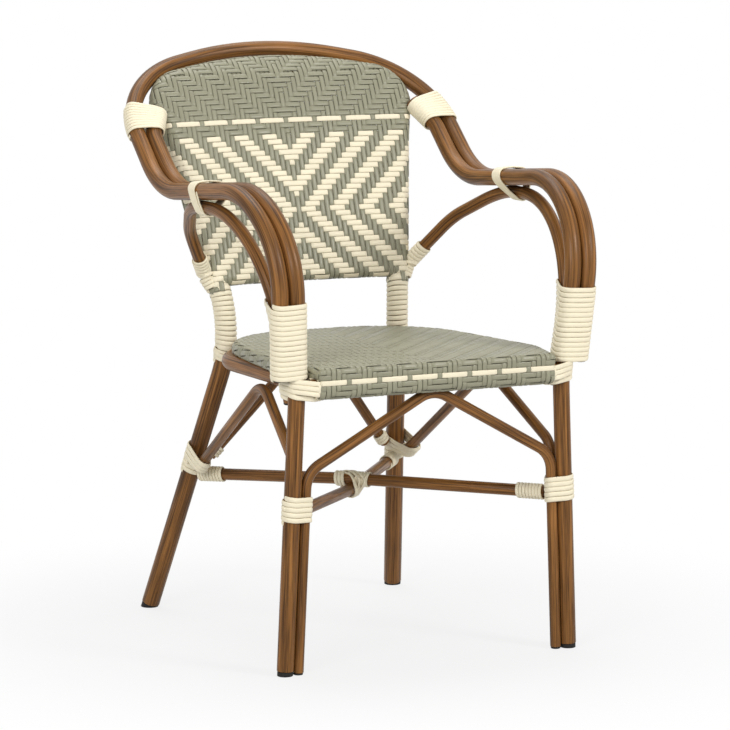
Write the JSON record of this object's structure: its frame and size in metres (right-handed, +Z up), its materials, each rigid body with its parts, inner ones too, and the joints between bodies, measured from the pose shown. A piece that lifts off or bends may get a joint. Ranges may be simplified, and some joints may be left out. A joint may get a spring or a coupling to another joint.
{
  "type": "bistro armchair",
  "caption": "Stacking bistro armchair with bent bamboo-look tubes, woven seat and back, ivory lashings and crossed stretchers.",
  "frame": {"origin": "middle of the chair's box at floor level", "axes": "+X towards the sitter's left, +Y towards the back, +Z up"},
  "size_m": [0.5622, 0.6478, 0.879],
  "materials": {
    "cane": "satin bamboo-grain coating on tube",
    "dark_cane": "satin bamboo-grain coating on tube, in shade",
    "ivory_strand": "flat ivory plastic strand, wound, semi-matt",
    "grey_weave": "warm grey and ivory plastic strands, twill weave, semi-matt",
    "black_plug": "matt black plug"
  },
  "bodies": {
    "root": {"hoop_arm_tube": "cane", "front_leg_tube_left": "cane", "front_leg_tube_right": "cane", "rear_leg_hoop": "cane", "lower_arm_left": "cane", "lower_arm_right": "cane", "front_arch": "cane", "side_arch_left": "cane", "side_arch_right": "cane", "rear_arch": "cane", "seat_ring": "dark_cane", "seat_front_bar": "dark_cane", "back_rail": "dark_cane", "stretcher_over": "dark_cane", "stretcher_under": "dark_cane", "seat_weave": "grey_weave", "back_weave": "grey_weave", "front_foot_left": "black_plug", "front_foot_right": "black_plug", "rear_foot_left": "black_plug", "rear_foot_right": "black_plug", "arch_foot_left": "black_plug", "arch_foot_right": "black_plug", "arm_tube_cap_left": "black_plug", "arm_tube_cap_right": "black_plug", "lower_arm_cap_left": "black_plug", "lower_arm_cap_right": "black_plug", "side_arch_cap_left": "black_plug", "side_arch_cap_right": "black_plug", "front_wrap_left": "ivory_strand", "front_wrap_right": "ivory_strand", "corner_wrap_left": "ivory_strand", "corner_wrap_right": "ivory_strand", "front_lashing_left": "ivory_strand", "front_lashing_right": "ivory_strand", "rear_lashing_left": "ivory_strand", "rear_lashing_right": "ivory_strand", "seat_rear_wrap_left": "ivory_strand", "seat_rear_wrap_right": "ivory_strand", "rear_leg_winding_left": "ivory_strand", "rear_leg_winding_right": "ivory_strand", "hoop_wrap_left": "ivory_strand", "hoop_wrap_right": "ivory_strand", "lower_arm_wrap_left": "ivory_strand", "lower_arm_wrap_right": "ivory_strand", "arm_tie_left": "ivory_strand", "arm_tie_right": "ivory_strand", "sleeve_over_front": "ivory_strand", "sleeve_over_rear": "ivory_strand", "sleeve_under_front": "ivory_strand", "sleeve_under_rear": "ivory_strand", "cross_lashing": "ivory_strand"}
  },
  "joints": []
}
